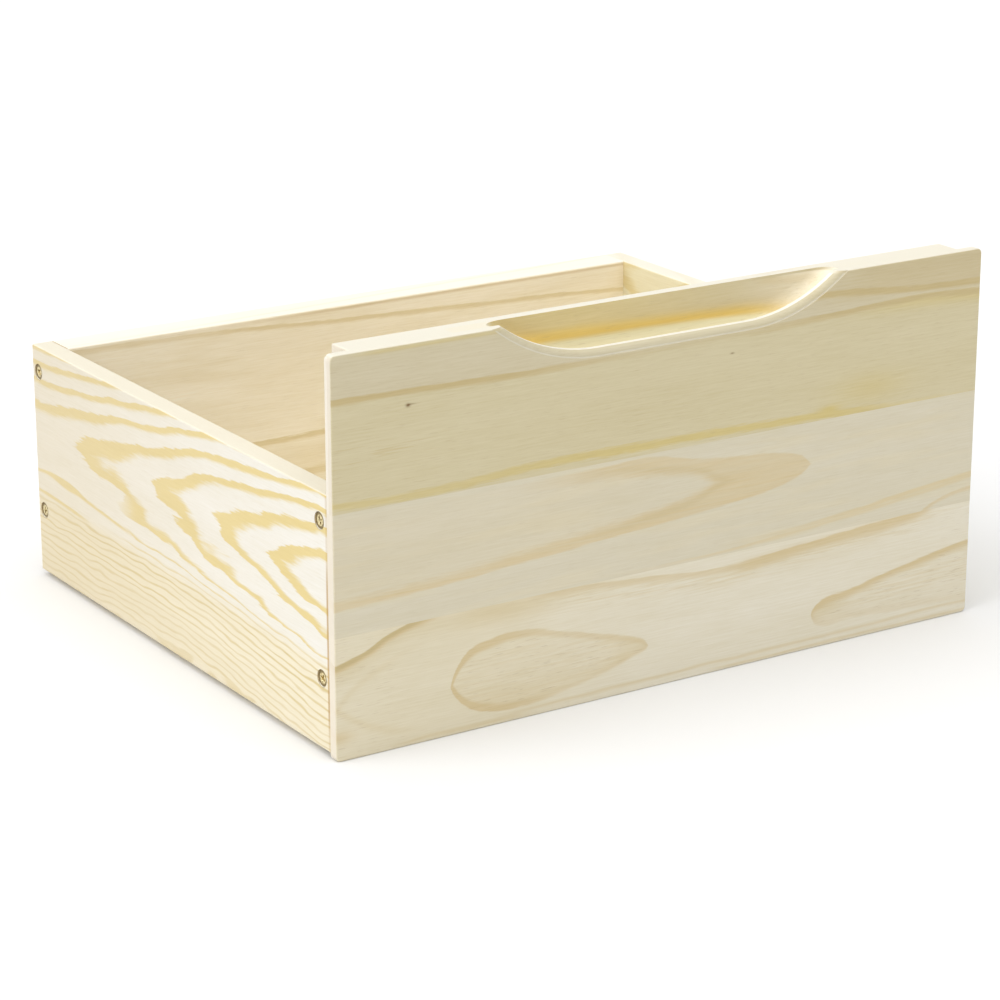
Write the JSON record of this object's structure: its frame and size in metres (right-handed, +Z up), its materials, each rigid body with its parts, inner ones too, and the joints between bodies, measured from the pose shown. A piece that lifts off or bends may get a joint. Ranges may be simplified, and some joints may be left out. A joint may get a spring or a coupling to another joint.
{
  "type": "under bed box",
  "caption": "Low open box in unfinished pine that slides under a bed, with a taller front board and a scooped finger pull in its top edge.",
  "frame": {"origin": "on the ground, under the middle of the box's overall width and depth", "axes": "+X to the box's right as seen from its front, +Y from the front board to the back board, +Z up"},
  "size_m": [0.39, 0.325, 0.2],
  "materials": {
    "pine": "sanded, unfinished",
    "base_sheet": "plywood, unfinished",
    "yellow_zinc": "yellow zinc plated",
    "bright_steel": "plain"
  },
  "bodies": {
    "root": {"front_upper_stave": "pine", "front_middle_stave": "pine", "front_lower_stave": "pine", "left_side": "pine", "right_side": "pine", "back_board": "pine", "base_panel": "base_sheet", "left_side_screws": "yellow_zinc", "right_side_screws": "yellow_zinc", "base_nails": "bright_steel"}
  },
  "joints": []
}
